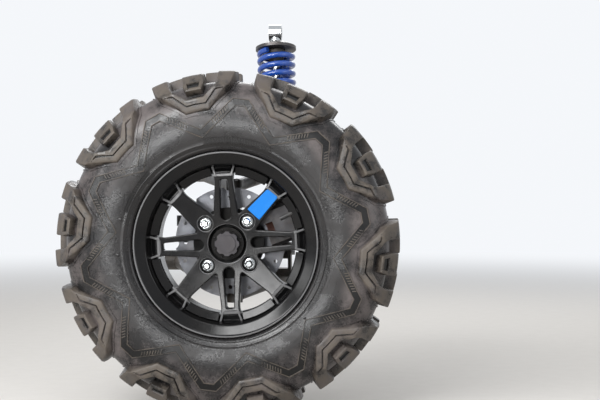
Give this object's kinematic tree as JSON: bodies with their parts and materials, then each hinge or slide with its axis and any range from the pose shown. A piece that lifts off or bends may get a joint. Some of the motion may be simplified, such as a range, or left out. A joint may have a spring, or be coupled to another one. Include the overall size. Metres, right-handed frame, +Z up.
{
  "type": "front wheel and suspension corner of a side-by-side utility vehicle",
  "caption": "Front wheel of a side-by-side utility vehicle with its lugged tyre, spoked rim, disc brake, knuckle, A-arms, coil-over, half-shaft and tie rod.",
  "frame": {"origin": "on the lower arm's pivot axis, midway between its two bushes", "axes": "+X to the front of the vehicle, -Y to its outside, +Z up"},
  "size_m": [0.635, 0.6125, 0.7531],
  "materials": {
    "tyre": "matte, dusty",
    "rim_black": "satin",
    "zinc_steel": "brushed",
    "chrome": "polished",
    "cap_grey": "matte",
    "blue_plate": "gloss",
    "black_rubber": "matte",
    "cast_knuckle": "cast, painted",
    "disc_steel": "ground",
    "caliper_metal": "cast",
    "pad_lining": "matte",
    "arm_paint": "satin",
    "bush_plastic": "matte",
    "damper_body": "gloss",
    "spring_blue": "gloss",
    "seat_plastic": "satin",
    "shaft_steel": "dark"
  },
  "bodies": {
    "suspension": {"lower_arm": "arm_paint", "upper_arm": "arm_paint", "lower_sleeves": "arm_paint", "upper_sleeves": "arm_paint", "lower_bushes": "bush_plastic", "upper_bushes": "bush_plastic", "ball_boots": "black_rubber", "shock_body": "damper_body", "shock_rod": "chrome", "spring_seats": "seat_plastic", "spring": "spring_blue", "shock_bushes": "bush_plastic", "shock_bolt": "zinc_steel", "outer_boot": "black_rubber"},
    "knuckle": {"knuckle": "cast_knuckle", "wheel_bearing": "zinc_steel", "ball_studs": "zinc_steel", "tie_rod_stud": "zinc_steel", "caliper": "caliper_metal", "brake_pads": "pad_lining"},
    "wheel": {"tyre": "tyre", "rim": "rim_black", "valve_stem": "black_rubber", "wheel_nuts": "chrome", "spoke_plate": "blue_plate", "centre_cap": "cap_grey", "hub": "zinc_steel", "brake_disc": "disc_steel", "disc_bolts": "zinc_steel", "cv_bell": "shaft_steel"},
    "half_shaft": {"half_shaft": "shaft_steel", "inner_joint": "shaft_steel", "inner_boot": "black_rubber"},
    "tie_rod": {"tie_rod": "zinc_steel", "rod_end": "zinc_steel", "inner_ball_joint": "zinc_steel"}
  },
  "joints": [
    {"name": "steer", "type": "hinge", "parent": "suspension", "child": "knuckle", "pos_m": [0, -0.352, 0.065], "axis": [0, 0.0421, 0.9991], "range_deg": [-30, 30], "deforming": ["outer_boot"]},
    {"name": "wheel_spin", "type": "hinge", "parent": "knuckle", "child": "wheel", "pos_m": [0, -0.42, 0.065], "axis": [0, 1, 0], "continuous": true},
    {"name": "shaft_spin", "type": "hinge", "parent": "suspension", "child": "half_shaft", "pos_m": [0, -0.352, 0.065], "axis": [0, 1, 0], "continuous": true},
    {"name": "tie_rod_turn", "type": "hinge", "parent": "knuckle", "child": "tie_rod", "pos_m": [-0.095, -0.365, 0.1], "axis": [0, 0.0421, 0.9991], "range_deg": [-30, 30]}
  ],
  "couplings": [
    {"joint": "shaft_spin", "follows": "wheel_spin", "ratio": 1},
    {"joint": "tie_rod_turn", "follows": "steer", "ratio": -1}
  ]
}
